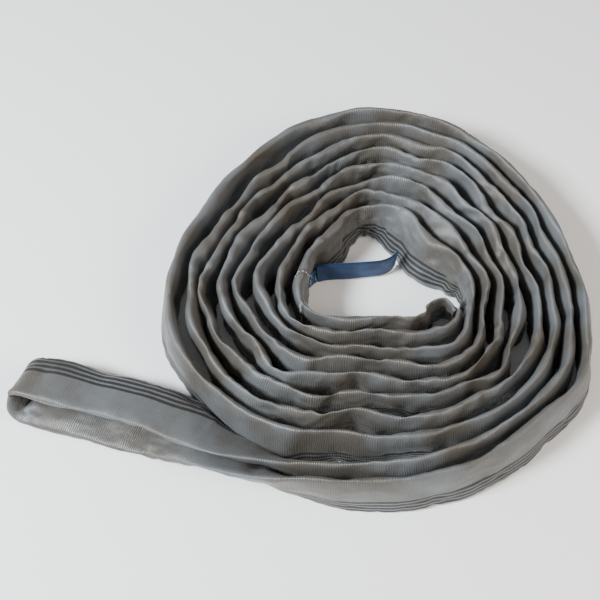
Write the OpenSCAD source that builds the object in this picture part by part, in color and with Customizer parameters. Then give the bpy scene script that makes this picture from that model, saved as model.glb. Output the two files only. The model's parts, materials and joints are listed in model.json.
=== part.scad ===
// Endless round sling, pulled flat, doubled and rolled up on edge.
// One end of the doubled length, the lifting eye, is left free beside the coil.
// Millimetres, +Z up, resting on z = 0, origin under the middle of the whole sling.

/* [Strand] */
// Width of the sleeve when it lies flat
band_w = 58; // [50:1:64]
// Thickness of one strand, sleeve and yarn together
band_t = 12.5; // [10:0.5:13]
// Thickness of the woven sleeve
wall_t = 1.6; // [1.2:0.1:1.8]
// Width of the hank of load-bearing yarn
hank_w = 44; // [36:1:48]
// Thickness of the hank of yarn
hank_t = 6.5; // [5:0.5:7]

/* [Coil] */
// Radius at which the innermost strand would start
coil_r = 48.4; // [46:0.2:56]
// Spacing from each strand to the next one out
pitch = 17.3; // [16.8:0.1:20]
// How far the sling is wound round the coil, in degrees
wound = 1420; // [1400:10:1430]
// Number of straight pieces along each wound strand
coil_steps = 95; // [72:1:100]
// Clockwise angle from +X at which the winding starts
start_angle = 28; // [24:1:32]
// Oval share of the radius at the middle of the coil
oval_in = 0.075; // [0:0.005:0.1]
// Oval share of the radius at the outside
oval_out = -0.013; // [-0.02:0.001:0.02]
// Direction of the oval at the middle, in degrees
oval_dir_in = -25; // [-40:1:0]
// Direction of the oval at the outside, in degrees
oval_dir_out = 18; // [0:1:30]
// Rounded-triangle share of the radius at the middle
lobe_in = -0.119; // [-0.13:0.001:0]
// Rounded-triangle share of the radius at the outside
lobe_out = -0.041; // [-0.06:0.001:0]
// Direction of the rounded triangle, in degrees
lobe_dir = 24.4; // [15:0.1:35]

/* [Free end] */
// Clockwise angle of the free end from -X
tail_angle = 15.5; // [10:0.5:20]
// Length of the eye, from where it lifts to its tip
eye_len = 145; // [120:1:160]
// Inside radius of the eye's bight
eye_r = 11; // [8:0.5:12]
// Gap at the line where the eye bends up
lift_gap = 0.4; // [0.3:0.1:1]

/* [Sleeve join and label] */
// Thickness of the sleeve end turned over the join
lap_t = 0.8; // [0.6:0.1:0.9]
// Clearance between one layer of cloth and the next
cloth_gap = 0.2; // [0.1:0.05:0.2]
// Height of the label
label_h = 32; // [26:1:36]
// Thickness of each leaf of the label
leaf_t = 0.9; // [0.6:0.1:1]
// Size of the thread of a stitch
thread = 0.7; // [0.5:0.1:0.8]

/* [Hidden] */
$fn = 96;

cloth_grey = "#8b8d8e";
lap_grey = "#7f8284";
yarn_white = "#e9e6dc";
tape_white = "#f4f2ea";
label_blue = "#1c3f74";
cover_blue = "#2a5a9c";
thread_white = "#dcdcd6";

// The doubled length is wound with the two strands side by side: half a pitch in and out.
inner_strand = -0.5;
outer_strand = 0.5;
// Strand number at which the outside values of the plan shape hold
outside_strand = 9;
centre_in = [2.9, 12.2];
centre_out = [-3.8, 10.7];
first_turn = 4;
last_turn = first_turn + wound;

// Places along the free end, from the coil to the eye: x, y, height off the floor, and how far
// the band has turned from standing on edge (0) to lying flat (90).
outer_leg = [[198, -90, 0, -5], [179, -122, 0, -8], [147, -151, 0, -9], [98, -187, 0, -9],
             [39, -206, 0, -7], [-10, -210, 0, -5], [-48, -207, 0, 0], [-88, -200, 0, 10],
             [-127, -184, 0, 32], [-167, -160, 0, 62]];
inner_leg = [[181, -83, 0, -2], [164, -113, 0, -3], [135, -140, 0, -3], [89, -170, 0, -4],
             [39, -188, 0, -5], [-8, -192, 0, -2], [-46, -190, 0, 3], [-86, -182, 2, 16],
             [-125, -169, 5, 33], [-166, -154, 18, 57]];
leg_steps = 5;
eye_start = [-207, -138];

// ---- Plan of the winding ------------------------------------------------------------------

function mix(a, b, t) = a + (b - a) * t;

// Point on a strand's middle line after winding by turn degrees; side is inner or outer.
function wound_point(turn, side) =
    let (number = turn / 180 + side + 1,
         t = number / outside_strand,
         a = -start_angle - turn,
         oval = mix(oval_in, oval_out, t) * cos(2 * (a - mix(oval_dir_in, oval_dir_out, t))),
         lobe = mix(lobe_in, lobe_out, t) * cos(3 * (a - lobe_dir)),
         r = (coil_r + pitch * number) * (1 + oval + lobe),
         c = mix(centre_in, centre_out, t))
    [c[0] + r * cos(a), c[1] + r * sin(a)];

// Height of a band's middle when it touches the floor at a given turn towards flat
function rest_z(tilt) = band_w / 2 * abs(cos(tilt)) + band_t / 2 * abs(sin(tilt));

// A station is [x, y, lift, tilt]: where the band's middle is, how far the band is held off the
// floor, and how far its top edge leans away from the coil.
function wound_station(turn, side) =
    let (p = wound_point(turn, side)) [p[0], p[1], 0, 0];

function spline(a, b, c, d, t) =
    (2 * b + (c - a) * t + (2 * a - 5 * b + 4 * c - d) * t * t
     + (3 * b - a - 3 * c + d) * t * t * t) / 2;

tail_dir = [-cos(tail_angle), sin(tail_angle)];
tail_side = [-sin(tail_angle), -cos(tail_angle)];

// Stations along one leg of the free end, ending just short of the line where the eye lifts
function leg_stations(points, side, end_lift) =
    let (end = [eye_start[0] - lift_gap * tail_dir[0], eye_start[1] - lift_gap * tail_dir[1],
                end_lift, 90],
         beyond = [end[0] + 40 * tail_dir[0], end[1] + 40 * tail_dir[1], end_lift, 90],
         all = concat([wound_station(last_turn - 15, side), wound_station(last_turn, side)],
                      points, [end, beyond]))
    concat([for (i = [1 : len(all) - 3]) for (k = [(i == 1 ? 1 : 0) : leg_steps - 1])
            spline(all[i - 1], all[i], all[i + 1], all[i + 2], k / leg_steps)],
           [end]);

function reversed(v) = [for (i = [len(v) - 1 : -1 : 0]) v[i]];

// Tilt is measured from the coil, but the inner strand runs the other way round it.
function flipped(v) = [for (s = v) [s[0], s[1], s[2], -s[3]]];

wound_turns = [for (i = [0 : coil_steps]) first_turn + wound * i / coil_steps];
top_lift = band_t + 2 * eye_r;

// Half turn that joins the two strands at the heart of the coil
bight_a = wound_point(first_turn, outer_strand);
bight_b = wound_point(first_turn, inner_strand);
bight_mid = (bight_a + bight_b) / 2;
bight_arm = bight_a - bight_mid;
bight_stations = [for (a = [30 : 30 : 150])
    [bight_mid[0] + bight_arm[0] * cos(a) - bight_arm[1] * sin(a),
     bight_mid[1] + bight_arm[0] * sin(a) + bight_arm[1] * cos(a), 0, 0]];

// The whole sling but its eye, from the lower layer of the free end in to the heart and out again
outer_stations = concat(reversed(leg_stations(outer_leg, outer_strand, 0)),
                        reversed([for (t = wound_turns) wound_station(t, outer_strand)]));
inner_stations = flipped(concat([for (t = wound_turns) wound_station(t, inner_strand)],
                                leg_stations(inner_leg, inner_strand, top_lift)));
stations = concat(outer_stations, bight_stations, inner_stations);
last = len(stations) - 1;

function unit(v) = v / norm(v);

// Direction of travel at a station, in plan
function travel(i) =
    i == 0 ? -tail_dir : i == last ? tail_dir :
    unit([stations[i + 1][0] - stations[i - 1][0], stations[i + 1][1] - stations[i - 1][1]]);

// Cross-section frame: middle, direction across the width, direction through the thickness
function ring(i) =
    let (s = stations[i], d = travel(i), out = [d[1], -d[0], 0], up = [0, 0, 1], a = s[3])
    [[s[0], s[1], rest_z(a) + max(s[2], 0)], up * cos(a) + out * sin(a), out * cos(a) - up * sin(a)];

rings = [for (i = [0 : last]) ring(i)];

// Stations of the innermost strand, counted from the heart of the coil
heart = len(outer_stations) + len(bight_stations);
lap_first = heart + 8;
lap_last = lap_first + 2;
tab_first = lap_last;
tape_first = heart + 40;
stitch_len = 2.6;

// ---- Sections and sweeping ------------------------------------------------------------------

corner_w = 0.09;
corner_t = 0.28;

// Eight-sided section of a flattened tube, w wide and t thick
function section(w, t) =
    let (x = w / 2, y = t / 2, cx = w * corner_w, cy = t * corner_t)
    [[x, -y + cy], [x, y - cy], [x - cx, y], [-x + cx, y],
     [-x, y - cy], [-x, -y + cy], [-x + cx, -y], [x - cx, -y]];

// Flat strip lying off the middle of the section, from n0 to n1 through the thickness
function strip(w0, w1, n0, n1) = [[w1, n0], [w1, n1], [w0, n1], [w0, n0]];

function placed(r, s) = [for (p = s) r[0] + r[1] * p[0] + r[2] * p[1]];

function skin(a, b, m, flip) = [for (i = [0 : m - 1])
    let (j = (i + 1) % m, q = [a + i, a + j, b + j, b + i])
    flip ? q : [q[0], q[3], q[2], q[1]]];

function halves(faces) = [for (f = faces) each
    [[f[0], f[1], f[2]], [f[0], f[2], f[3]]]];

// Solid swept through stations a to b
module swept(a, b, s) {
    m = len(s);
    n = b - a;
    points = [for (i = [a : b]) each placed(rings[i], s)];
    sides = halves([for (i = [0 : n - 1]) each skin(i * m, (i + 1) * m, m, false)]);
    ends = [[for (i = [0 : m - 1]) i], [for (i = [m - 1 : -1 : 0]) n * m + i]];
    polyhedron(points, concat(sides, ends), 2 * n + 4);
}

// Open-ended tube swept through stations a to b; both sections have the same number of points
module swept_tube(a, b, outer, inner) {
    m = len(outer[0]);
    n = b - a;
    step = 2 * m;
    points = [for (i = [0 : n]) each concat(placed(rings[a + i], outer[i]),
                                            placed(rings[a + i], inner[i]))];
    outside = [for (i = [0 : n - 1]) each skin(i * step, (i + 1) * step, m, false)];
    inside = [for (i = [0 : n - 1]) each skin(i * step + m, (i + 1) * step + m, m, true)];
    near_end = skin(0, m, m, true);
    far_end = skin(n * step, n * step + m, m, false);
    polyhedron(points, halves(concat(outside, inside, near_end, far_end)), 2 * n + 4);
}

// ---- Where the sling sits -------------------------------------------------------------------

outline = concat([for (r = rings) each placed(r, section(band_w, band_t))],
                 [for (side = [-1, 1]) [eye_start[0] + eye_len * tail_dir[0]
                                        + side * band_w / 2 * tail_side[0],
                                        eye_start[1] + eye_len * tail_dir[1]
                                        + side * band_w / 2 * tail_side[1], 0]]);
xs = [for (p = outline) p[0]];
ys = [for (p = outline) p[1]];
origin_shift = [-(min(xs) + max(xs)) / 2, -(min(ys) + max(ys)) / 2, 0];

module at_home() { translate(origin_shift) children(); }

// Frame of the free end: +X along it towards the tip, +Z up, zero where the eye lifts
module at_eye() {
    at_home() translate([eye_start[0], eye_start[1], 0]) rotate([0, 0, 180 - tail_angle]) children();
}

// Hairpin of two straight layers and a round bight, inset evenly from the eye's full thickness
module hairpin(width, inset) {
    outer_r = eye_r + band_t - inset;
    inner_r = eye_r + inset;
    centre_x = eye_len - eye_r - band_t;
    rotate([90, 0, 0]) linear_extrude(width, center = true) translate([0, eye_r + band_t])
        difference() {
            union() {
                translate([centre_x, 0]) circle(outer_r);
                translate([0, -outer_r]) square([centre_x, 2 * outer_r]);
            }
            translate([centre_x, 0]) circle(inner_r);
            translate([-1, -inner_r]) square([centre_x + 1, 2 * inner_r]);
        }
}

// Row of stitches across a face of the band between station i and the next one.
// along is how far from station i, side is which face, off is that face's distance.
module stitch_row(i, along, side, off, low, high, count) {
    a = rings[i][0];
    b = rings[i + 1][0];
    d = unit(b - a);
    w = rings[i][1];
    n = cross(d, w);
    proud = off + cloth_gap / 2 + thread / 2;
    for (k = [0 : count - 1]) {
        p = mix(a, b, along) + w * mix(low, high, (k + 0.5) / count) + n * side * proud;
        multmatrix([[d[0], w[0], n[0], p[0]], [d[1], w[1], n[1], p[1]], [d[2], w[2], n[2], p[2]],
                    [0, 0, 0, 1]])
            cube([thread, stitch_len, thread], center = true);
    }
}

// ---- Sleeve ---------------------------------------------------------------------------------

// The sleeve is drawn in under its own turned-over end, so that the join is no bulkier.
function drawn_in(i) = i >= lap_first && i <= lap_last ? 2 * (lap_t + cloth_gap) : 0;

module sleeve_coil() {
    outer = [for (i = [0 : last]) section(band_w - drawn_in(i), band_t - drawn_in(i))];
    inner = [for (i = [0 : last]) section(band_w - 2 * wall_t - drawn_in(i),
                                          band_t - 2 * wall_t - drawn_in(i))];
    color(cloth_grey) at_home() swept_tube(0, last, outer, inner);
}

module sleeve_eye() {
    color(cloth_grey) at_eye() difference() {
        hairpin(band_w, 0);
        hairpin(band_w - 2 * wall_t, wall_t);
        for (z = [wall_t, top_lift + wall_t])
            translate([-1, -band_w / 2 + wall_t, z])
                cube([2, band_w - 2 * wall_t, band_t - 2 * wall_t]);
    }
}

module sleeve_lap() {
    n = lap_last - lap_first;
    outer = [for (i = [0 : n]) section(band_w, band_t)];
    inner = [for (i = [0 : n]) section(band_w - 2 * lap_t, band_t - 2 * lap_t)];
    color(lap_grey) at_home() swept_tube(lap_first, lap_last, outer, inner);
}

module lap_stitches() {
    color(thread_white) at_home() for (side = [-1, 1]) {
        stitch_row(lap_first, 0.25, side, band_t / 2, -22, 22, 11);
        stitch_row(lap_last - 1, 0.75, side, band_t / 2, -22, 22, 11);
    }
}

// ---- Core -----------------------------------------------------------------------------------

module hank_coil() {
    color(yarn_white) at_home() swept(0, last, section(hank_w, hank_t));
}

module hank_eye() {
    color(yarn_white) at_eye() hairpin(hank_w, (band_t - hank_t) / 2);
}

// Tape that holds the two ends of the yarn against the hank
module hank_end_tape() {
    gap = 2 * cloth_gap;
    outer = [for (i = [0 : 2]) section(hank_w + gap + 1, hank_t + gap + 1)];
    inner = [for (i = [0 : 2]) section(hank_w + gap, hank_t + gap)];
    color(tape_white) at_home() swept_tube(tape_first, tape_first + 2, outer, inner);
}

// ---- Labels ---------------------------------------------------------------------------------

// Second label, kept inside the sleeve beside the join
module inner_label() {
    n0 = hank_t / 2 + 0.4;
    color(tape_white) at_home() swept(lap_last + 2, lap_last + 4, strip(-16, 16, n0, n0 + 0.5));
}

// Fixed end of the label, sewn flat to the side of the band that faces the hole
tab_n = band_t / 2 + cloth_gap;
label_z = 2;
tab_low = label_z - band_w / 2;

module label_tab() {
    color(label_blue) at_home() swept(tab_first, tab_first + 1,
                                      strip(tab_low, tab_low + label_h, tab_n, tab_n + leaf_t));
}

module tab_stitches() {
    color(thread_white) at_home() for (along = [0.2, 0.75])
        stitch_row(tab_first, along, 1, tab_n + leaf_t, tab_low + 2, tab_low + label_h - 2, 8);
}

// The label's free part hangs from the end of the tab and crosses the hole on edge.
fold_ring = rings[tab_first + 1];
label_foot = fold_ring[0] + fold_ring[2] * (tab_n + leaf_t + 1);
label_run = [[9, 1.5], [34, 4.5], [63, 8.5], [76, 14.5], [83, 22.5]];
label_line = concat([[0.6, 0.8]], label_run);

function line_normal(v, i) =
    let (a = v[max(i - 1, 0)], b = v[min(i + 1, len(v) - 1)], d = unit(b - a)) [-d[1], d[0]];

// Plan of a leaf: the label's line, thickened between two distances to its left
function leaf_plan(v, d0, d1) = concat(
    [for (i = [0 : len(v) - 1]) v[i] + line_normal(v, i) * d0],
    [for (i = [len(v) - 1 : -1 : 0]) v[i] + line_normal(v, i) * d1]);

module at_label() { at_home() translate([label_foot[0], label_foot[1], label_z]) children(); }

module label_leaf() {
    color(label_blue) at_label() linear_extrude(label_h) polygon(leaf_plan(label_line, 0, leaf_t));
}

// Thinner leaf in front of the first, a little shorter and narrower
module label_cover() {
    short = [for (i = [0 : len(label_line) - 2]) label_line[i]];
    color(cover_blue) at_label() translate([0, 0, 1.5]) linear_extrude(label_h - 3)
        polygon(leaf_plan(short, -leaf_t, -cloth_gap));
}

// Stitches along the top and bottom edges of the label's leaf, on the side away from the cover
module label_edge_stitches() {
    v = label_line;
    color(thread_white) at_label() for (i = [1 : len(v) - 2]) for (z = [2, label_h - 2]) {
        span = v[i + 1] - v[i];
        steps = floor(norm(span) / 4);
        base = leaf_plan(v, 0, leaf_t + cloth_gap / 2);
        a = base[2 * len(v) - 1 - i];
        b = base[2 * len(v) - 2 - i];
        for (k = [0 : steps - 1]) {
            p = mix(a, b, (k + 0.5) / steps);
            translate([p[0], p[1], z]) rotate([0, 0, atan2(b[1] - a[1], b[0] - a[0])])
                translate([-stitch_len / 2, 0, -thread / 2]) cube([stitch_len, thread / 2, thread]);
        }
    }
}

echo(shift = origin_shift, label_foot = label_foot + origin_shift, eye = eye_start,
     heart = heart, count = last + 1);

sleeve_coil();
sleeve_eye();
hank_coil();
hank_eye();
hank_end_tape();
sleeve_lap();
lap_stitches();
inner_label();
label_tab();
tab_stitches();
label_leaf();
label_cover();
label_edge_stitches();
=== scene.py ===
"""Rolled-up round sling: the looks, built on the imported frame. Lengths in metres."""
import json
import math

import bpy
import numpy as np
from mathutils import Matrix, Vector


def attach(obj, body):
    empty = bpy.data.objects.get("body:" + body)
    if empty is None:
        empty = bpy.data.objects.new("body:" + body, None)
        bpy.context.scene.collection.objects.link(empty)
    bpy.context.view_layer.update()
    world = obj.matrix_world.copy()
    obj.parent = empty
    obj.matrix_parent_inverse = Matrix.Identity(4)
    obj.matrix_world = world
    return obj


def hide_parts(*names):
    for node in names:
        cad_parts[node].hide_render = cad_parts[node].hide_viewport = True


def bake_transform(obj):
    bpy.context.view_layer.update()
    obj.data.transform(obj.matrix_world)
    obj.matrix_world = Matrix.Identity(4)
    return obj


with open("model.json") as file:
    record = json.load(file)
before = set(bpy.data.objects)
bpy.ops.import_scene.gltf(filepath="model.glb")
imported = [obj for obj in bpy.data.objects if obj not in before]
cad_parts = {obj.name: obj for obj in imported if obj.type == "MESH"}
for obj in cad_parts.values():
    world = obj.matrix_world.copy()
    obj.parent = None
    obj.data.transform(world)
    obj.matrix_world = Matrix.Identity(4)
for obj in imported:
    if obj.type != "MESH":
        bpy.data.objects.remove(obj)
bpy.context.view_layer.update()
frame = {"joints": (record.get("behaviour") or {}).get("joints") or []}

MM = 0.001

# ---- Design values, as in the part's source -------------------------------------------------
BAND_W = 58 * MM
BAND_T = 12.5 * MM
COIL_R = 48.4 * MM
PITCH = 17.3 * MM
FIRST_TURN = 4.0
LAST_TURN = 1424.0
START_ANGLE = 28.0
OVAL = (0.075, -0.013)
OVAL_DIR = (-25.0, 18.0)
LOBE = (-0.119, -0.041)
LOBE_DIR = 24.4
CENTRE_IN = np.array([2.9, 12.2]) * MM
CENTRE_OUT = np.array([-3.8, 10.7]) * MM
OUTSIDE_STRAND = 9
INNER, OUTER = -0.5, 0.5
OUTER_LEG = [
    (198, -90, 0, -5), (179, -122, 0, -8), (147, -151, 0, -9), (98, -187, 0, -9),
    (39, -206, 0, -7), (-10, -210, 0, -5), (-48, -206, 0, 2), (-88, -198, 0, 17),
    (-127, -181, 0, 43), (-167, -159, 0, 68),
]
INNER_LEG = [
    (181, -83, 0, -2), (164, -113, 0, -3), (135, -140, 0, -3), (89, -170, 0, -4),
    (39, -188, 0, -5), (-8, -192, 0, -2), (-46, -190, 0, 4), (-86, -182, 0, 18),
    (-125, -168, 4, 39), (-166, -153, 12, 57),
]
TAIL_ANGLE = math.radians(15.5)
TAIL_DIR = np.array([-math.cos(TAIL_ANGLE), math.sin(TAIL_ANGLE), 0])
TAIL_SIDE = np.array([-math.sin(TAIL_ANGLE), -math.cos(TAIL_ANGLE), 0])
EYE_START = np.array([-207, -138, 0]) * MM
EYE_LEN = 145 * MM

UP = np.array([0.0, 0.0, 1.0])

# The frame's origin is under the middle of the sling; the route below is measured from the
# middle of the coil. The lifting joint lies on both.
lift_joint = next(j for j in frame["joints"] if j["name"] == "eye_lift")
HOME = np.array([lift_joint["pos_m"][0], lift_joint["pos_m"][1], 0]) - EYE_START


def mix(a, b, t):
    return a + (b - a) * t


def smooth(x, low, high):
    t = np.clip((np.asarray(x, float) - low) / (high - low), 0, 1)
    return t * t * (3 - 2 * t)


def unit(v):
    return v / np.linalg.norm(v, axis=-1, keepdims=True)


def waves(x, lengths, seed):
    """Smooth noise of unit size along x, from sine waves of these lengths."""
    rng = np.random.default_rng(seed)
    total = sum(np.sin(2 * math.pi * (x / L + rng.random())) for L in lengths)
    return total / math.sqrt(len(lengths) / 2)


def plan_waves(xy, lengths, seed):
    """Smooth noise of unit size over the floor, from waves of these lengths."""
    rng = np.random.default_rng(seed)
    total = 0
    for size in lengths:
        for _ in range(3):
            a = rng.random() * 2 * math.pi
            way = np.array([math.cos(a), math.sin(a)])
            total = total + np.sin(2 * math.pi * (xy @ way / size + rng.random()))
    return total / math.sqrt(len(lengths) * 3 / 2)


# ---- Route of the sling ------------------------------------------------------------------------
def wound(turn, side):
    """Plan point, angle and strand number after winding by turn degrees."""
    number = turn / 180 + side + 1
    t = (number / OUTSIDE_STRAND)[:, None]
    a = np.radians(-START_ANGLE - turn)
    oval_dir = np.radians(mix(*OVAL_DIR, number / OUTSIDE_STRAND))
    oval = mix(*OVAL, number / OUTSIDE_STRAND) * np.cos(2 * (a - oval_dir))
    lobe = mix(*LOBE, number / OUTSIDE_STRAND) * np.cos(3 * (a - math.radians(LOBE_DIR)))
    r = ((COIL_R + PITCH * number) * (1 + oval + lobe))[:, None]
    return mix(CENTRE_IN, CENTRE_OUT, t) + r * np.stack([np.cos(a), np.sin(a)], -1), a, number


def from_middle(xy):
    """Distance from the middle of the coil's outside strand."""
    return np.linalg.norm(xy - CENTRE_OUT, axis=1)


def upper_left(angle):
    """1 where the strands lie slack against each other, at the back left of the coil."""
    around = np.degrees(angle) % 360
    return smooth(around, 90, 115) * (1 - smooth(around, 185, 215))


def lean_of(angle, number):
    """How far a wound band leans outward at its top, in degrees."""
    around = (np.degrees(angle) + 180) % 360 - 180
    right_back = smooth(around, -22, 22) * (1 - smooth(around, 64, 98))
    inner = np.clip(1 - (number - 2.1) / 8, 0, 1)
    front_right = smooth(around, -80, -50) * (1 - smooth(around, -35, -5))
    back_left = smooth(around, 100, 130) * (1 - smooth(around, 160, 190))
    left_front = smooth(-around, 20, 60) + smooth(around, 150, 175)
    return (27 * right_back * inner - 7 * front_right * smooth(number, 3, 9) + 5 * back_left
            - 8 * left_front * smooth(number, 7.3, 8.6))


def stand(xy, out, lift, tilt, sign):
    """Centres and axes of bands standing on the floor, tilted away from the coil at the top."""
    t = np.radians(tilt)[:, None]
    out = np.concatenate([out, np.zeros((len(out), 1))], 1)
    z = BAND_W / 2 * abs(np.cos(t)) + BAND_T / 2 * abs(np.sin(t)) + np.reshape(lift, (-1, 1))
    centre = np.concatenate([xy, z], 1)
    return centre, UP * np.cos(t) + out * np.sin(t), (out * np.cos(t) - UP * np.sin(t)) * sign


def plan_out(xy):
    """Unit vectors away from the coil, for points in the order of winding outward."""
    d = unit(np.gradient(xy, axis=0))
    return np.stack([-d[:, 1], d[:, 0]], 1)


WOUND_STATIONS = 3000
BACK_BULGE = 5 * MM
SLACK_LEAN = {INNER: 11, OUTER: -4}


def wound_band(side):
    """One wound strand, which leans and sways and bulges at the back."""
    turn = np.linspace(FIRST_TURN, LAST_TURN, WOUND_STATIONS)
    xy, angle, number = wound(turn, side)
    out = plan_out(xy)
    lean = lean_of(angle, number) + 4 * plan_waves(xy, (0.3, 0.19), 31)
    lean = lean + 2.5 * waves(turn * number, (1500, 830), 32 + int(side + 1))
    run = turn * (number / 2 + COIL_R / PITCH)
    lean = lean + 4 * waves(run, (350, 240), 36 + int(side + 1)) * (1 - smooth(number, 7, 8.5))
    lean = lean + SLACK_LEAN[side] * upper_left(angle) * smooth(number, 2, 3.5)
    around = np.degrees(angle) % 360
    back = smooth(around, 40, 80) * (1 - smooth(around, 190, 225)) * smooth(number, 7.2, 8.8)
    xy = xy + out * (BACK_BULGE * back - BAND_W / 2 * np.sin(np.radians(lean)))[:, None]
    return stand(xy, out, np.zeros(len(turn)), lean, 2 * side)


def spline(points, steps):
    """Points along a smooth curve through all but the first and last of these."""
    p = np.array(points, float)
    t = np.linspace(0, 1, steps, endpoint=False)[:, None]
    rows = []
    for a, b, c, d in zip(p, p[1:], p[2:], p[3:]):
        rows.append((2 * b + (c - a) * t + (2 * a - 5 * b + 4 * c - d) * t * t
                     + (3 * b - a - 3 * c + d) * t ** 3) / 2)
    return np.concatenate(rows)


BEYOND = 40  # mm past the leg's end, to set the direction there


def leg_band(points, side, end_lift, sideways, end_tilt):
    """One leg of the free end, from the coil to the line where the eye lifts."""
    start, _, _ = wound(np.array([LAST_TURN - 15, LAST_TURN]), side)
    end = (EYE_START + TAIL_SIDE * sideways) / MM
    beyond = end + BEYOND * TAIL_DIR
    rows = [(*(p / MM), 0, 0) for p in start] + list(points)
    rows += [(*(p[:2]), end_lift / MM, end_tilt) for p in (end, beyond)]
    p = spline(rows, 40)[1:]
    xy = p[:, :2] * MM
    return stand(xy, plan_out(xy), p[:, 2] * MM, p[:, 3], 2 * side)


BIGHT_STATIONS = 40
BIGHT_STRETCH = 1.5
BIGHT_LEAN = -17  # the top leans in, over the strands' gap


def heart_bight():
    """Half turn that joins the two strands at the heart of the coil."""
    a, _, _ = wound(np.array([FIRST_TURN]), OUTER)
    b, _, _ = wound(np.array([FIRST_TURN]), INNER)
    middle = (a[0] + b[0]) / 2
    arm = a[0] - middle
    t = np.linspace(0, math.pi, BIGHT_STATIONS + 2)[1:-1, None]
    ahead = np.array([-arm[1], arm[0]])
    xy = middle + arm * np.cos(t) + BIGHT_STRETCH * ahead * np.sin(t)
    out = arm * BIGHT_STRETCH * np.cos(t) + ahead * np.sin(t)
    return stand(xy, unit(out), np.zeros(len(t)), BIGHT_LEAN * np.sin(t[:, 0]), 1)


LOWER_SIDE = 5 * MM
LOWER_Z = 1 * MM
UPPER_SIDE = -7 * MM
UPPER_Z = 34 * MM
UPPER_TILT = 68


def eye_band():
    """The free eye, along the lower layer, round the bight and back along the upper layer."""
    low = BAND_T / 2 + LOWER_Z
    radius = (UPPER_Z - low) / 2
    straight = EYE_LEN - radius - BAND_T / 2
    along = np.linspace(straight, 0, 60)
    turn = np.linspace(0, math.pi, 40)
    rows = [(d, 0.0, -1.0, 0.0) for d in along[::-1]]
    rows += [(straight + radius * math.sin(a), radius * (1 - math.cos(a)), -math.cos(a),
              math.sin(a)) for a in turn[1:-1]]
    rows += [(d, 2 * radius, 1.0, 0.0) for d in along]
    p = np.array(rows)
    up = smooth(p[:, 1], 0, 2 * radius)
    side = mix(LOWER_SIDE, UPPER_SIDE, up)
    centre = (EYE_START + p[:, :1] * TAIL_DIR + (p[:, 1:2] + low) * UP
              + side[:, None] * TAIL_SIDE)
    normal = p[:, 2:3] * UP + p[:, 3:] * TAIL_DIR
    roll = np.radians(90 - UPPER_TILT) * up
    across = TAIL_SIDE * np.cos(roll)[:, None] + UP * np.sin(roll)[:, None]
    return centre, across, normal


def sling_route(spacing):
    """Evenly spaced stations round the whole loop: centres, width axes and outward axes.
    It starts on the lower layer where the eye lifts, and runs in to the heart and back out."""
    lower = leg_band(OUTER_LEG, OUTER, LOWER_Z, LOWER_SIDE, 90)
    tilt = math.radians(UPPER_TILT)
    rest = BAND_W / 2 * math.cos(tilt) + BAND_T / 2 * math.sin(tilt)
    upper = leg_band(INNER_LEG, INNER, UPPER_Z - rest, UPPER_SIDE, UPPER_TILT)
    eye = eye_band()
    parts = [tuple(v[::-1] for v in lower), tuple(v[::-1] for v in wound_band(OUTER)),
             heart_bight(), wound_band(INNER), upper, tuple(v[::-1] for v in eye)]
    centre, across, normal = (np.concatenate([p[k] for p in parts]) for k in range(3))
    step = np.linalg.norm(np.diff(centre, axis=0, append=centre[:1]), axis=1)
    keep = step > 1e-6
    centre, across, normal, step = centre[keep], across[keep], normal[keep], step[keep]
    s = np.concatenate([[0], np.cumsum(step)])
    count = int(round(s[-1] / spacing))
    at = np.arange(count) * s[-1] / count

    def sample(v):
        v = np.concatenate([v, v[:1]])
        return np.stack([np.interp(at, s, v[:, k]) for k in range(3)], 1)

    centre, across, normal = sample(centre), sample(across), sample(normal)
    for _ in range(3):
        centre, across, normal = ((np.roll(v, 1, 0) + 2 * v + np.roll(v, -1, 0)) / 4
                                  for v in (centre, across, normal))
    travel = unit(np.roll(centre, -1, 0) - np.roll(centre, 1, 0))
    across = unit(across - (across * travel).sum(1, keepdims=True) * travel)
    flip = np.sign((np.cross(travel, across) * normal).sum(1, keepdims=True))
    normal = np.cross(travel, across) * flip
    # The strands were wound by hand, so they wander a little
    level = unit(normal * (1, 1, 0) + 1e-6 * TAIL_DIR)
    upright = smooth(abs(across[:, 2]), 0.3, 0.8)
    wander = (2.4 * plan_waves(centre[:, :2], (0.19, 0.11), 21)
              + 1.9 * waves(at, (0.16, 0.09, 0.06), 22))
    sign = np.sign((level[:, :2] * (centre[:, :2] - centre[:, :2].mean(0))).sum(1))
    wander = wander * mix(1, 0.3, smooth(from_middle(centre[:, :2]), 0.16, 0.19))
    centre = centre + level * (wander * sign * upright * MM)[:, None]
    return centre, across, normal, travel, at, s[-1]


# ---- Cloth of the sleeve ---------------------------------------------------------------------
SPACING = 3.2 * MM  # from one ring of the cloth's grid to the next
AROUND = 32  # points in a ring, the first at the band's top edge
LOW_EDGE = AROUND // 2
SLEEVE_ROUND = 121 * MM
STEPS = 320
RING_W, RING_T = 53 * MM, 12 * MM  # of each ring before the cloth settles
FALL = 0.02 * MM
PRESSURE = 0.034 * MM
MOMENTUM = 0.9
STRETCH_HOLD, SHEAR_HOLD = 0.9, 0.25
BEND_HOLD = {0: 0.22, 1: 0.2}  # along the sling and round it
FLOOR_GAP = 0.5 * MM
CALM_FROM, CALM_TO = 0.165, 0.19  # distance from the coil's middle where the folds fade
REACH = 34 * MM  # how far through a neighbour may be


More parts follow.
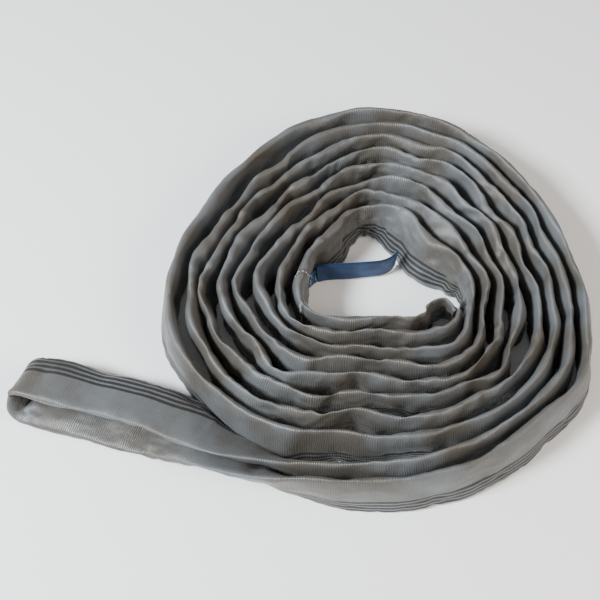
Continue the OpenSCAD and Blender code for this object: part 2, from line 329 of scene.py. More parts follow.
def stadium(count, width, thick):
    """Evenly spaced points round a rounded bar's section, from its top edge over the outward
    face: distance across and distance through."""
    r = thick / 2
    flat = width - thick
    d = np.arange(count) / count * (2 * flat + 2 * math.pi * r)
    quarter, half = math.pi * r / 2, math.pi * r
    a, n = np.zeros(count), np.zeros(count)
    for k, x in enumerate(d):
        if x < quarter:
            a[k], n[k] = flat / 2 + r * math.cos(x / r), r * math.sin(x / r)
        elif x < quarter + flat:
            a[k], n[k] = flat / 2 - (x - quarter), r
        elif x < quarter + flat + half:
            t = (x - quarter - flat) / r
            a[k], n[k] = -flat / 2 - r * math.sin(t), r * math.cos(t)
        elif x < quarter + 2 * flat + half:
            a[k], n[k] = -flat / 2 + (x - quarter - flat - half), -r
        else:
            t = (x - quarter - 2 * flat - half) / r
            a[k], n[k] = flat / 2 + r * math.sin(t), -r * math.cos(t)
    return a, n


def neighbours(centre, normal, travel, sign):
    """For each station, the station of the band it faces on this side, or itself."""
    count = len(centre)
    best = np.full(count, 1.0)
    partner = np.arange(count)
    for i in range(count):
        d = centre - centre[i]
        through = d @ normal[i] * sign
        aside = d - np.outer(through * sign, normal[i])
        ok = (through > 8 * MM) & (through < REACH) & (abs(d @ travel[i]) < 4 * MM)
        ok &= (np.linalg.norm(aside, axis=1) < 30 * MM) & ((normal @ normal[i]) < 0)
        if ok.any():
            cost = np.where(ok, through + 0.5 * abs(d @ travel[i]), 1.0)
            j = int(cost.argmin())
            best[i], partner[i] = cost[j], j
    return partner, best < 1


def creases(at, length):
    """Where the cloth pinches in, as a share of full strength for each station and side."""
    rng = np.random.default_rng(17)
    total = np.zeros((len(at), AROUND))
    place = 0.0
    face = np.arange(AROUND) / AROUND
    while True:
        place += rng.uniform(0.014, 0.06)
        if place > length:
            return total
        lean, width = rng.uniform(-0.024, 0.024), rng.uniform(3.0, 5.0) * MM
        depth, side = rng.uniform(2.0, 8.0), rng.random()
        over = np.cos(2 * math.pi * (face - side))
        line = place + lean * np.sin(2 * math.pi * (face - side))
        gap = (at[:, None] - line + length / 2) % length - length / 2
        total += depth * np.exp(-(gap / width) ** 2) * smooth(over, -0.2, 0.8)


def tie(x, s, v, rest, hold):
    """Pull each point and the one s rings and v points away towards their length at rest."""
    d = np.roll(x, (-s, -v), (0, 1)) - x
    size = np.linalg.norm(d, axis=2)
    c = (0.5 * hold * (size - rest) / np.maximum(size, 1e-9))[..., None] * d
    return x + c - np.roll(c, (s, v), (0, 1))


def stiffen(x, axis, hold):
    """Spread bends out along one direction of the grid."""
    curl = np.roll(x, 1, axis) + np.roll(x, -1, axis) - 2 * x
    return x - hold * (np.roll(curl, 1, axis) + np.roll(curl, -1, axis) - 2 * curl) / 16


def core_sizes(at, pinch):
    """Radius and half height of the core at each station, slimmer where the cloth pinches in."""
    radius = np.maximum(4.4 + 0.9 * waves(at, (0.13, 0.07, 0.045), 8), 3.6)[:, None] * MM
    radius = radius * (1 - 0.45 * pinch)
    height = (26.4 + 0.8 * waves(at, (0.16, 0.09), 9))[:, None] * MM - radius
    return radius, height * (1 - 0.07 * pinch)


def sleeve_shape(route, lap):
    """Cloth of the sleeve, settled by gravity round its core and against its neighbours."""
    centre, across, normal, travel, at, length = route
    count = len(centre)
    ds = length / count
    face = np.arange(AROUND)
    a, n = stadium(AROUND, RING_W, RING_T)
    x = centre[:, None] + across[:, None] * a[:, None] + normal[:, None] * n[:, None]

    # Cloth length at rest: slack in places, and more where the band bends
    bend = np.linalg.norm(np.roll(travel, -1, 0) - np.roll(travel, 1, 0), axis=1) / (2 * ds)
    kernel = np.hanning(15) / np.hanning(15).sum()
    bend = np.convolve(np.concatenate([bend[-7:], bend, bend[:7]]), kernel, "valid")
    plan = centre[:, :2] - HOME[:2]
    outside = smooth(from_middle(plan), CALM_FROM, CALM_TO)
    slack_side = upper_left(np.arctan2(*(plan - CENTRE_OUT).T[::-1]))
    slack = 0.02 + 0.06 * smooth(waves(at, (0.31, 0.17, 0.093), 3), -0.6, 1.2)
    slack = slack * (1 - 0.65 * outside)
    rest_s = (ds * (1 + slack + np.minimum(6 * MM * bend, 0.2)))[:, None]
    rest_v = SLEEVE_ROUND / AROUND
    rest_d = np.sqrt(rest_s ** 2 + rest_v ** 2)

    # Where it puffs out, pinches in and stands off its neighbours
    puff = smooth(waves(at, (0.15, 0.083, 0.061), 5), -1.0, 1.2)[:, None, None]
    crease = creases(at, length)[..., None]
    pinch = np.clip(crease[..., 0].max(1) / 3.5, 0, 1)[:, None] * (1 - 0.8 * outside[:, None])
    fullest = (8.0 - 1.4 * outside + 1.5 * slack_side)[:, None] * MM
    fullest = fullest * (1.06 - 0.4 * pinch)
    top = smooth(np.cos(2 * math.pi * face / AROUND), 0.35, 1.0)
    apart = smooth(waves(at, (0.21, 0.12, 0.08), 14), -1.2, 1.0) * (1 - 0.85 * slack_side)
    room = (0.4 + 3.4 * top * (0.15 + apart[:, None])) * MM
    room[lap[0]:lap[1] + 1] += LAP_ROOM
    near = [neighbours(centre, normal, travel, sign) for sign in (1, -1)]
    faces = [face <= LOW_EDGE, (face >= LOW_EDGE) | (face == 0)]
    own = np.where(face <= LOW_EDGE, 1, -1)
    edge = (face != 0) & (face != LOW_EDGE)
    core_r, core_h = core_sizes(at, pinch)
    crest = (core_h + 0.65 * core_r)[:, 0]
    taper = 0.4 - 0.35 * slack_side[:, None]

    rng = np.random.default_rng(11)
    x = x + rng.normal(size=(count, AROUND, 3)) * 0.35 * MM
    before = x.copy()
    down = np.array([0, 0, -FALL])
    for step in range(STEPS):
        push = MOMENTUM * (x - before)
        before = x
        tangent = np.roll(x, -1, 0) - np.roll(x, 1, 0)
        round_ = np.roll(x, -1, 1) - np.roll(x, 1, 1)
        face_n = unit(np.cross(tangent, round_))
        if step == 0:
            way = np.sign((face_n * (x - centre[:, None])).sum())
        x = x + push + down + face_n * way * PRESSURE * (0.4 + puff - crease)
        x = tie(x, 1, 0, rest_s, STRETCH_HOLD)
        x = tie(x, 0, 1, rest_v, STRETCH_HOLD)
        x = tie(x, 1, 1, rest_d, SHEAR_HOLD)
        x = tie(x, 1, -1, rest_d, SHEAR_HOLD)
        for axis, hold in BEND_HOLD.items():
            x = stiffen(x, axis, hold)
        # Anchor each ring along the sling, so that the cloth doesn't creep
        drift = ((x.mean(1) - centre) * travel).sum(1, keepdims=True)
        x = x - 0.2 * (drift * travel)[:, None]
        for sign, (partner, has), side in zip((1, -1), near, faces):
            gap = ((x[partner] - x) * normal[:, None]).sum(2) * sign
            over = np.where((gap < room) & has[:, None] & side, room - gap, 0)
            over = np.minimum(over, 2 * MM)
            x = x - (0.5 * sign * over)[..., None] * normal[:, None]
        # The core holds each face on its own side
        rel = x - centre[:, None]
        pa = (rel * across[:, None]).sum(2)
        pn = (rel * normal[:, None]).sum(2)
        pt = rel - pa[..., None] * across[:, None] - pn[..., None] * normal[:, None]
        share = pa / core_h
        thin = core_r * (1 - taper * smooth(share, 0.2, 1) + 0.5 * smooth(-share, 0, 1))
        pn = own * np.where((abs(pa) < core_h) & edge, np.maximum(own * pn, thin),
                            np.where(edge, np.maximum(own * pn, 0), pn * own))
        pa[:, 0] = np.maximum(pa[:, 0], crest)
        pa[:, LOW_EDGE] = np.minimum(pa[:, LOW_EDGE], -crest)
        ca = np.clip(pa, -core_h, core_h)
        off = np.hypot(pa - ca, pn)
        scale = np.where(off < thin, thin / np.maximum(off, 1e-6), 1)
        pa, pn = ca + (pa - ca) * scale, np.clip(pn * scale, -fullest, fullest)
        x = (centre[:, None] + pa[..., None] * across[:, None] + pn[..., None] * normal[:, None]
             + pt)
        x[..., 2] = np.maximum(x[..., 2], FLOOR_GAP)
    return x


def closed_grid(name, x, at, length):
    """Mesh of a tube that is closed both ways, with its uv map: metres along, share round."""
    count, around = x.shape[:2]
    i, j = np.meshgrid(np.arange(count), np.arange(around), indexing="ij")
    i2, j2 = (i + 1) % count, (j + 1) % around
    quads = np.stack([i * around + j, i2 * around + j, i2 * around + j2, i * around + j2], -1)
    mesh = bpy.data.meshes.new(name)
    mesh.from_pydata(x.reshape(-1, 3).tolist(), [], quads.reshape(-1, 4).tolist())
    ds = length / count
    u = np.stack([i * ds, (i + 1) * ds, (i + 1) * ds, i * ds], -1)
    v = np.stack([j, j, j + 1, j + 1], -1) / around
    uv = mesh.uv_layers.new(name="along")
    uv.data.foreach_set("uv", np.stack([u, v], -1).astype(np.float32).ravel())
    mesh.polygons.foreach_set("use_smooth", np.ones(count * around, bool))
    mesh.update()
    obj = bpy.data.objects.new(name, mesh)
    bpy.context.scene.collection.objects.link(obj)
    return obj


route = sling_route(SPACING)
route = (route[0] + HOME, *route[1:])
plan_route = route[0][:, :2] - HOME[:2]


def station(turn):
    """Station of the inner strand after this turn."""
    xy, _, _ = wound(np.array([float(turn)]), INNER)
    gap = np.linalg.norm(plan_route - xy, axis=1)
    return int(gap.argmin())


LAP_TURNS = (123.6, 153.5)
LAP_ROOM = 1.6 * MM
LAP = tuple(station(turn) for turn in LAP_TURNS)
cloth = sleeve_shape(route, LAP)


FOLDS = ((0.013, 0.011), (0.021, -0.016), (0.034, 0.02))  # spacing and slant of each set
FOLD_HEIGHT = 1.15 * MM


def wrinkles():
    """Height of the finer folds, slanting over the cloth in patches."""
    s = route[4][:, None]
    v = np.sin(2 * math.pi * np.arange(AROUND) / AROUND)[None]
    w = np.cos(2 * math.pi * np.arange(AROUND) / AROUND)[None]
    total = 0
    for k, (size, slant) in enumerate(FOLDS):
        line = s + slant * v + 0.5 * slant * w + 0.006 * waves(s + 0.03 * v, (0.11, 0.07), 40 + k)
        ridge = 1 - 2 * abs(np.sin(math.pi * line / size))
        patch = smooth(waves(s + 0.05 * w, (0.19, 0.083, 0.05), 50 + k), 0.2, 1.5)
        total = total + ridge * patch * size / 0.034
    outside = smooth(from_middle(plan_route), CALM_FROM, CALM_TO)
    calm = np.maximum(outside, 1 - smooth(abs(route[1][:, 2]), 0.3, 0.8))
    return total * (1 - 0.7 * calm)[:, None] * FOLD_HEIGHT


tangent, girth = (np.roll(cloth, -1, k) - np.roll(cloth, 1, k) for k in (0, 1))
outward = unit(np.cross(tangent, girth))
outward = outward * np.sign((outward * (cloth - route[0][:, None])).sum())
cloth = cloth + outward * wrinkles()[..., None]
cloth[..., 2] = np.maximum(cloth[..., 2], FLOOR_GAP)
sleeve = closed_grid("sleeve", cloth, route[4], route[5])


# ---- Node materials ------------------------------------------------------------------------------
class Nodes:
    """Small helper to write a material's nodes as expressions."""

    def __init__(self, name):
        self.material = bpy.data.materials.new(name)
        self.material.use_nodes = True
        self.tree = self.material.node_tree
        self.tree.nodes.clear()
        self.out = self.tree.nodes.new("ShaderNodeOutputMaterial")
        self.shader = self.tree.nodes.new("ShaderNodeBsdfPrincipled")
        self.tree.links.new(self.shader.outputs[0], self.out.inputs[0])

    def put(self, socket, value):
        if isinstance(value, bpy.types.NodeSocket):
            self.tree.links.new(value, socket)
        else:
            socket.default_value = value

    def math(self, kind, a, b=0.0):
        node = self.tree.nodes.new("ShaderNodeMath")
        node.operation = kind
        self.put(node.inputs[0], a)
        self.put(node.inputs[1], b)
        return node.outputs[0]

    def step(self, value, low, high, to_low=0.0, to_high=1.0):
        node = self.tree.nodes.new("ShaderNodeMapRange")
        node.interpolation_type = "SMOOTHSTEP"
        for k, v in enumerate((value, low, high, to_low, to_high)):
            self.put(node.inputs[k], v)
        return node.outputs[0]

    def mix(self, amount, a, b):
        node = self.tree.nodes.new("ShaderNodeMix")
        node.data_type = "RGBA"
        self.put(node.inputs[0], amount)
        self.put(node.inputs[6], a)
        self.put(node.inputs[7], b)
        return node.outputs[2]

    def noise(self, scale, detail=2.0, vector=None):
        node = self.tree.nodes.new("ShaderNodeTexNoise")
        self.put(node.inputs["Scale"], scale)
        self.put(node.inputs["Detail"], detail)
        if vector is not None:
            self.put(node.inputs["Vector"], vector)
        return node.outputs[0]

    def coordinate(self, kind):
        return self.tree.nodes.new("ShaderNodeTexCoord").outputs[kind]

    def uv(self):
        node = self.tree.nodes.new("ShaderNodeUVMap")
        node.uv_map = "along"
        split = self.tree.nodes.new("ShaderNodeSeparateXYZ")
        self.put(split.inputs[0], node.outputs[0])
        return split.outputs[0], split.outputs[1]

    def wave(self, phase):
        """Sine of phase turns, from 0 to 1."""
        s = self.math("SINE", self.math("MULTIPLY", phase, 2 * math.pi))
        return self.math("ADD", self.math("MULTIPLY", s, 0.5), 0.5)

    def bump(self, height, distance, strength=1.0, under=None):
        node = self.tree.nodes.new("ShaderNodeBump")
        node.inputs["Strength"].default_value = strength
        node.inputs["Distance"].default_value = distance
        self.put(node.inputs["Height"], height)
        if under is not None:
            self.put(node.inputs["Normal"], under)
        return node.outputs[0]

    def finish(self, color, roughness, normal=None, **plain):
        self.put(self.shader.inputs["Base Color"], color)
        self.put(self.shader.inputs["Roughness"], roughness)
        if normal is not None:
            self.put(self.shader.inputs["Normal"], normal)
        for key, value in plain.items():
            self.shader.inputs[key.replace("_", " ")].default_value = value
        return self.material


RIB = 2.0 * MM
YARN = 1.1 * MM
TRACERS = (0.53, 0.62, 0.71, 0.80)  # share of the way down the outward face
TRACER_HALF, TRACER_EDGE = 0.0122, 0.0142  # share of the way round the sleeve
CLOTH_LIGHT, CLOTH_DARK = (0.100, 0.108, 0.117, 1), (0.062, 0.054, 0.044, 1)
# The first colour below is painted shade for the grooves between the ribs; the others are worn
# speckle and the tracers' black.
RIB_GROOVE_SHADE, WORN, TRACER_BLACK = (0.05, 0.05, 0.05, 1), (0.1, 0.1, 0.1, 1), (0.004, 0.004, 0.005, 1)


def sleeve_cloth():
    """Ribbed woven sleeve, unevenly grey, with its tracer lines."""
    n = Nodes("sleeve_cloth")
    u, v = n.uv()
    where = n.coordinate("Object")
    yarns_along = n.math("MULTIPLY", v, SLEEVE_ROUND / YARN)
    ribs = n.math("MULTIPLY", u, 1 / RIB)
    drift = n.noise(90.0, 2.0, where)
    ribs = n.math("ADD", ribs, n.math("MULTIPLY", drift, 1.6))
    rib = n.wave(ribs)
    weave = n.math("MULTIPLY", n.wave(yarns_along), n.wave(n.math("MULTIPLY", ribs, 2.0)))
    # The tracer lines are woven into the outward face only
    stripes = 0.0
    for share in TRACERS:
        off = n.math("ABSOLUTE", n.math("SUBTRACT", v, share / 2))
        line = n.step(off, TRACER_HALF, TRACER_EDGE, 1.0, 0.0)
        stripes = n.math("MAXIMUM", stripes, line)
    dots = n.step(n.wave(n.math("MULTIPLY", u, 1 / RIB)), 0.05, 0.3, 0.86, 1.0)
    stripes = n.math("MULTIPLY", stripes, dots)
    cloud = n.noise(17.0, 4.0, where)
    fine = n.noise(900.0, 2.0, where)
    base = n.mix(n.step(cloud, 0.36, 0.62), CLOTH_LIGHT, CLOTH_DARK)
    # Painted shade: the colour is darkened in the grooves between the ribs.
    groove_shade = n.math("MULTIPLY", n.step(rib, 0.0, 0.5, 1.0, 0.0), 0.35)
    base = n.mix(groove_shade, base, RIB_GROOVE_SHADE)
    base = n.mix(n.math("MULTIPLY", fine, 0.25), base, WORN)
    base = n.mix(stripes, base, TRACER_BLACK)
    normal = n.bump(rib, 0.35 * MM, 0.6)
    normal = n.bump(weave, 0.12 * MM, 0.5, normal)
    normal = n.bump(n.noise(260.0, 2.0, where), 0.5 * MM, 0.4, normal)
    gloss = n.math("ADD", n.step(fine, 0.2, 0.8, 0.36, 0.52), n.math("MULTIPLY", stripes, 0.3))
    return n.finish(base, gloss, normal,
                    Sheen_Weight=0.06, Sheen_Roughness=0.35, Specular_IOR_Level=0.6)


sleeve_look = sleeve_cloth()
sleeve.data.materials.append(sleeve_look)
smoothing = sleeve.modifiers.new("smooth", "SUBSURF")
smoothing.levels = smoothing.render_levels = 1
smoothing.uv_smooth = "PRESERVE_BOUNDARIES"
bpy.context.view_layer.update()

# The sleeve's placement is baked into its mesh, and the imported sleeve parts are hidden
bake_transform(sleeve)
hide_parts("sleeve_coil", "sleeve_eye")


# ---- Core, lap, labels and stitches -------------------------------------------------------------
def inside(first, last, step, through):
    """Rings within the sleeve, drawn in to this share of its thickness."""
    rings = cloth[first:last + 1:step]
    across, normal, travel = (v[first:last + 1:step, None] for v in route[1:4])
    middle = rings.mean(1, keepdims=True)
    rel = rings - middle
    a, n, t = ((rel * axis).sum(2, keepdims=True) for axis in (across, normal, travel))
    twist = np.linalg.norm(np.roll(route[1], 7, 0) - np.roll(route[1], -7, 0), axis=1)
    slim = (1 - 0.5 * smooth(twist, 0.1, 0.4))[first:last + 1:step, None, None]
    return (middle + across * a * (0.62 + through / 3) * slim + normal * n * through * slim
            + travel * t * 0.4)


def shell(name, outer, inner, closed):
    """Closed skin between two grids of points; closed grids join up across their second axis."""
    rows, cols = outer.shape[:2]
    points = np.concatenate([outer.reshape(-1, 3), inner.reshape(-1, 3)])
    under = rows * cols
    span = cols if closed else cols - 1
    faces = []
    for i in range(rows - 1):
        for j in range(span):
            k = (j + 1) % cols
            quad = (i * cols + j, (i + 1) * cols + j, (i + 1) * cols + k, i * cols + k)
            faces += [quad, tuple(under + q for q in reversed(quad))]
    for j in range(span):
        k = (j + 1) % cols
        for row, way in ((0, 1), (rows - 1, -1)):
            rim = (row * cols + j, row * cols + k, under + row * cols + k, under + row * cols + j)
            faces.append(rim[::way])
    if not closed:
        for i in range(rows - 1):
            for col, way in ((0, -1), (cols - 1, 1)):
                rim = (i * cols + col, (i + 1) * cols + col, under + (i + 1) * cols + col,
                       under + i * cols + col)
                faces.append(rim[::way])
    mesh = bpy.data.meshes.new(name)
    mesh.from_pydata(points.tolist(), [], faces)
    mesh.polygons.foreach_set("use_smooth", np.ones(len(faces), bool))
    uv = mesh.uv_layers.new(name="along")
    lay = np.zeros((rows, cols, 2))
    lay[1:, :, 0] = np.cumsum(np.linalg.norm(np.diff(outer, axis=0), axis=2), 0)
    lay[:, 1:, 1] = np.cumsum(np.linalg.norm(np.diff(outer, axis=1), axis=2), 1)
    lay = np.concatenate([lay.reshape(-1, 2)] * 2)
    index = np.zeros(len(mesh.loops), int)
    mesh.loops.foreach_get("vertex_index", index)
    uv.data.foreach_set("uv", lay[index].astype(np.float32).ravel())
    mesh.update()
    obj = bpy.data.objects.new(name, mesh)
    bpy.context.scene.collection.objects.link(obj)
    return obj


def soften(obj):
    """Subdivide once."""
    modifier = obj.modifiers.new("smooth", "SUBSURF")
    modifier.levels = modifier.render_levels = 1
    return obj


def on_cloth(name, rows, cols, low, high):
    """Layer of cloth that lies on the sleeve, over these rows and columns of its grid."""
    closed = cols is None
    pick = slice(rows[0], rows[1] + 1), slice(None) if closed else slice(cols[0], cols[1] + 1)
    base, out = cloth[pick], outward[pick]
    faces = [base + out * height for height in (high, low)]
    for face in faces:
        face[..., 2] = np.maximum(face[..., 2], 0.3 * MM)
    return soften(shell(name, *faces, closed))


THREAD_R = 0.38 * MM
THREAD_SIDES = 6
STITCH_LEN = 2.8 * MM
STITCH_RINGS = 7


def stitches(name, places, ways, outs):
    """Threads lying on a surface, arched, with both ends sunk into it."""
    points, faces = [], []
    for p, way, out in zip(places, unit(np.array(ways)), unit(np.array(outs))):
        side = unit(np.cross(way, out))
        first = len(points)
        for t in np.linspace(-1, 1, STITCH_RINGS):
            middle = p + way * t * STITCH_LEN / 2 + out * THREAD_R * (1 - 2.2 * t * t)
            size = THREAD_R * math.sqrt(max(1 - t ** 4, 0.08))
            for k in range(THREAD_SIDES):
                a = 2 * math.pi * k / THREAD_SIDES
                points.append(middle + (side * math.cos(a) + out * math.sin(a)) * size)
        last = first + THREAD_SIDES * (STITCH_RINGS - 1)
        for a in range(first, last, THREAD_SIDES):
            b = a + THREAD_SIDES
            for k in range(THREAD_SIDES):
                j = (k + 1) % THREAD_SIDES
                faces.append((a + k, a + j, b + j, b + k))
        faces.append(tuple(first + k for k in reversed(range(THREAD_SIDES))))
        faces.append(tuple(last + k for k in range(THREAD_SIDES)))
    mesh = bpy.data.meshes.new(name)
    mesh.from_pydata([(p[0], p[1], max(p[2], 0.1 * MM)) for p in points], [], faces)
    mesh.polygons.foreach_set("use_smooth", np.ones(len(faces), bool))
    mesh.update()
    obj = bpy.data.objects.new(name, mesh)
    bpy.context.scene.collection.objects.link(obj)
    return obj


def stitches_on_cloth(row, cols, lift):
    """Stitches in a line round part of the sleeve at one row of its grid."""
    places, ways, outs = [], [], []
    for j in cols:
        k = int(j) % AROUND
        k2 = (k + 1) % AROUND
        places.append(mix(cloth[row, k], cloth[row, k2], j - int(j)) + outward[row, k] * lift)
        ways.append(cloth[row, k2] - cloth[row, k])
        outs.append(outward[row, k])
    return places, ways, outs


def seams_on_cloth(name, rows, cols, lift):
    """Two or more lines of stitches as one piece."""
    lines = [stitches_on_cloth(row, cols, lift) for row in rows]
    return stitches(name, *(sum((line[k] for line in lines), []) for k in range(3)))


def yarn_look():
    """Off-white bundled yarn."""
    n = Nodes("core_yarn")
    where = n.coordinate("Object")
    strands = n.noise(700.0, 3.0, where)
    base = n.mix(strands, (0.62, 0.59, 0.5, 1), (0.82, 0.8, 0.73, 1))
    return n.finish(base, n.step(strands, 0.2, 0.8, 0.5, 0.75),
                    n.bump(strands, 0.3 * MM, 0.7), Sheen_Weight=0.2)


def woven_look(name, light, dark, pitch, roughness, sheen):
    """Close-woven tape, with its two sets of threads, some unevenness and a painted highlight on the
    high spots of its weave.
    """
    n = Nodes(name)
    u, v = n.uv()
    warp = n.wave(n.math("MULTIPLY", v, 1 / pitch))
    weft = n.wave(n.math("MULTIPLY", u, 1 / pitch))
    over = n.math("MULTIPLY", warp, weft)
    cloud = n.noise(60.0, 3.0, n.coordinate("Object"))
    base = n.mix(n.step(cloud, 0.3, 0.7), dark, light)
    # Painted highlight: where both sets of threads lie high, the colour is mixed towards a paler copy
    # of the light tone.
    base = n.mix(n.math("MULTIPLY", over, 0.3), base, tuple(min(c * 1.5, 1) for c in light))
    return n.finish(base, n.step(cloud, 0.3, 0.7, roughness, roughness - 0.15),
                    n.bump(over, 0.15 * MM, 0.6), Sheen_Weight=sheen)


def thread_look():
    """Pale sewing thread."""
    n = Nodes("sewing_thread")
    fine = n.noise(2600.0, 2.0, n.coordinate("Object"))
    base = n.mix(fine, (0.42, 0.42, 0.4, 1), (0.72, 0.72, 0.7, 1))
    return n.finish(base, n.step(fine, 0.2, 0.8, 0.4, 0.6), n.bump(fine, 0.08 * MM, 0.5),
                    Sheen_Weight=0.1)


yarn, thread = yarn_look(), thread_look()
tape_cloth = woven_look("tape", (0.8, 0.79, 0.74, 1), (0.7, 0.68, 0.62, 1), 0.9 * MM, 0.8, 0.2)
label_cloth = woven_look("label_cloth", (0.001, 0.034, 0.115, 1), (0.001, 0.017, 0.062, 1),
                         0.8 * MM, 0.75, 0.02)

CORE_THROUGH = 0.45
core_rings = inside(0, len(cloth) - 1, 2, CORE_THROUGH)
rough = np.random.default_rng(4).normal(size=core_rings.shape[:2])[..., None] * 0.15 * MM
core_rings = core_rings + rough * unit(core_rings - core_rings.mean(1, keepdims=True))
hank = soften(closed_grid("hank", core_rings, route[4][::2], route[5]))
hank.data.materials.append(yarn)
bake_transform(hank)
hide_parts("hank_coil", "hank_eye")

TAPE_TURN, MARKER_TURN = 602, 186
MARKER_COLS = slice(5, 12)
tape_at = station(TAPE_TURN)
tape = soften(shell("hank_end_tape_cloth", inside(tape_at, tape_at + 12, 1, 0.56),
                    inside(tape_at, tape_at + 12, 1, 0.51), True))
marker_at = station(MARKER_TURN)
marker = soften(shell("inner_label_cloth",
                      inside(marker_at, marker_at + 9, 1, 0.58)[:, MARKER_COLS],
                      inside(marker_at, marker_at + 9, 1, 0.53)[:, MARKER_COLS], False))
LAP_UP = 0.9 * MM
lap = on_cloth("sleeve_lap_cloth", LAP, None, -0.5 * MM, LAP_UP)
lap.data.materials.append(sleeve_look)
TAB = (LAP[1] + 1, LAP[1] + 8)
TAB_COLS = (7, 14)
TAB_UP = 1.0 * MM
tab = on_cloth("label_tab_cloth", TAB, TAB_COLS, 0.1 * MM, TAB_UP)
lap_seam = seams_on_cloth("lap_seam", (LAP[0] + 1, LAP[1] - 1), np.arange(0.5, AROUND, 0.75),
                          LAP_UP)
tab_seam = seams_on_cloth("tab_seam", (TAB[0] + 1, TAB[1] - 1),
                          np.arange(TAB_COLS[0] + 0.4, TAB_COLS[1] - 0.2, 0.72), TAB_UP)

# The label's free part stands on edge across the hole
LABEL_H = 32 * MM
LABEL_Z = 2 * MM
LEAF_T, COVER_T = 0.8 * MM, 0.6 * MM
COVER_INSET, COVER_GAP = 1.5 * MM, 0.9 * MM
COVER_H = LABEL_H - 2 * COVER_INSET
EDGE_INSET, EDGE_PITCH = 2 * MM, 4 * MM
LABEL_RUN = [(0, 0.3), (9, 1.5), (34, 4.5), (63, 8.5), (76, 14.5), (83, 22.5)]
label_joint = next(j for j in frame["joints"] if j["name"] == "label_flap")
FOOT = np.array([label_joint["pos_m"][0], label_joint["pos_m"][1], 0])


label_run = spline([(-9, -0.9), *LABEL_RUN, (86, 29)], 12)
label_run = np.vstack([label_run, LABEL_RUN[-1]]) * MM
label_along = np.cumsum(np.linalg.norm(np.diff(label_run, axis=0, prepend=label_run[:1]), axis=1))
LABEL_LEN = float(label_along[-1])
COVER_SHARE = 0.93


def label_sheet(last, height, low_z, forward):
    """Points of the label, from its foot to this share of its length and from its lower edge up."""
    d = np.linspace(0, last, 44) * LABEL_LEN
    xy = np.stack([np.interp(d, label_along, label_run[:, k]) for k in range(2)], 1)
    side = plan_out(xy)
    up = np.linspace(0, 1, 11)
    share = (d / LABEL_LEN)[:, None]
    bulge = (0.9 * np.sin(5.2 * share + 1.0) + 0.5 * np.sin(13 * share)) * MM
    lean = mix(0.5, -4.0, share) * MM
    sag = bulge * (1 - 0.6 * up) + lean * (up - 0.5) - forward
    grid = np.zeros((len(d), len(up), 3))
    grid[..., :2] = xy[:, None] + side[:, None] * sag[..., None]
    grid[..., 2] = low_z + up * height + 0.5 * MM * np.sin(4.0 * share + 0.5)
    return grid + FOOT, np.concatenate([side, np.zeros((len(d), 1))], 1)[:, None]


leaf_grid, leaf_out = label_sheet(1, LABEL_H, LABEL_Z, 0)
leaf = soften(shell("label_leaf_cloth", leaf_grid + leaf_out * LEAF_T, leaf_grid, False))
cover_grid, cover_out = label_sheet(COVER_SHARE, COVER_H, LABEL_Z + COVER_INSET, COVER_GAP)
cover = soften(shell("label_cover_cloth", cover_grid + cover_out * COVER_T, cover_grid, False))
places, ways, outs = [], [], []
for row, inset in ((0, EDGE_INSET), (-1, -EDGE_INSET)):
    line = leaf_grid[1:-1, row] + UP * inset + leaf_out[1:-1, 0] * LEAF_T
    d = np.concatenate([[0], np.cumsum(np.linalg.norm(np.diff(line, axis=0), axis=1))])
    for at_d in np.arange(EDGE_INSET, d[-1], EDGE_PITCH):
        p = np.array([np.interp(at_d, d, line[:, k]) for k in range(3)])
        q = np.array([np.interp(at_d + MM, d, line[:, k]) for k in range(3)])
        n = np.array([np.interp(at_d, d, leaf_out[1:-1, 0, k]) for k in range(3)])
        places.append(p)
        ways.append(q - p)
        outs.append(n)
edge_seam = stitches("label_edge_seam", places, ways, outs)

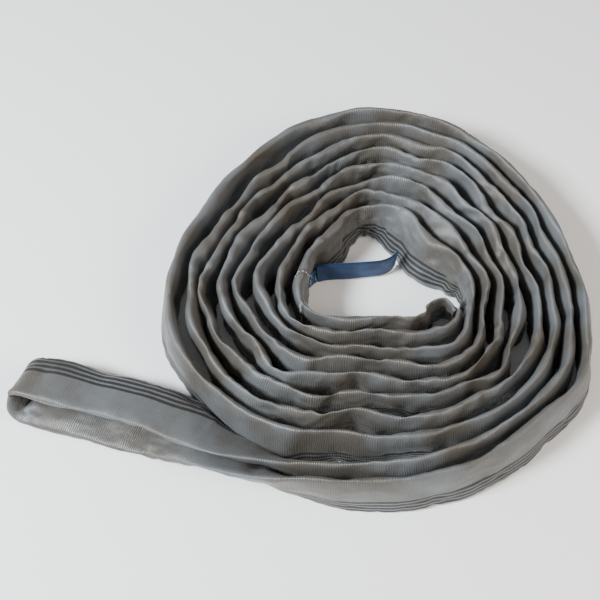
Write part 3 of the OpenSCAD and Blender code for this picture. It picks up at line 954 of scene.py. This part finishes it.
for obj, look, body, node, slot in (
        (tape, tape_cloth, "coil", "hank_end_tape", "tape"),
        (marker, tape_cloth, "coil", "inner_label", "tape"),
        (lap, None, "coil", "sleeve_lap", "sleeve_cloth"),
        (lap_seam, thread, "coil", "lap_stitches", "sewing_thread"),
        (tab, label_cloth, "coil", "label_tab", "label_cloth"),
        (tab_seam, thread, "coil", "tab_stitches", "sewing_thread"),
        (leaf, label_cloth, "label", "label_leaf", "label_cloth"),
        (cover, label_cloth, "label", "label_cover", "label_cloth"),
        (edge_seam, thread, "label", "label_edge_stitches", "sewing_thread")):
    if look:
        obj.data.materials.append(look)
    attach(obj, body)
    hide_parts(node)

# ---- Floor, lights and camera ---------------------------------------------------------------------
FLOOR_SIZE = 8
bpy.ops.mesh.primitive_plane_add(size=FLOOR_SIZE)
floor = bpy.context.object
floor.name = "floor"
floor_nodes = Nodes("floor")
floor.data.materials.append(floor_nodes.finish((0.93, 0.93, 0.93, 1), 0.7))


def area_light(name, place, size, power, color):
    """Rectangular light, aimed at the coil."""
    data = bpy.data.lights.new(name, "AREA")
    data.shape = "RECTANGLE"
    data.size, data.size_y = size
    data.energy = power
    data.color = color
    obj = bpy.data.objects.new(name, data)
    obj.location = place
    aim = Vector((float(HOME[0]), float(HOME[1]), 0.03)) - Vector(place)
    obj.rotation_euler = aim.to_track_quat("-Z", "Y").to_euler()
    bpy.context.scene.collection.objects.link(obj)


area_light("key", (-1.4, -0.6, 1.5), (0.6, 0.6), 112, (0.9, 0.965, 1.0))
area_light("fill", (1.5, -0.8, 1.2), (1.0, 1.0), 30, (1.0, 0.88, 0.74))
WORLD_LIGHT = 0.42
world = bpy.data.worlds.new("studio")
world.use_nodes = True
background = world.node_tree.nodes["Background"]
background.inputs["Color"].default_value = (1, 1, 1, 1)
background.inputs["Strength"].default_value = WORLD_LIGHT
bpy.context.scene.world = world

ELEVATION = math.radians(58)
DISTANCE = 0.968
camera_data = bpy.data.cameras.new("camera")
camera_data.lens, camera_data.sensor_width = 57.6, 36
camera_data.shift_x, camera_data.shift_y = -0.127, -0.007
camera = bpy.data.objects.new("camera", camera_data)
AIM_Z = 24.2 * MM
target = HOME + np.array([0, 0, AIM_Z])
camera.location = target + DISTANCE * np.array([0, -math.cos(ELEVATION), math.sin(ELEVATION)])
camera.rotation_euler = (math.pi / 2 - ELEVATION, 0, 0)
bpy.context.scene.collection.objects.link(camera)
bpy.context.scene.camera = camera
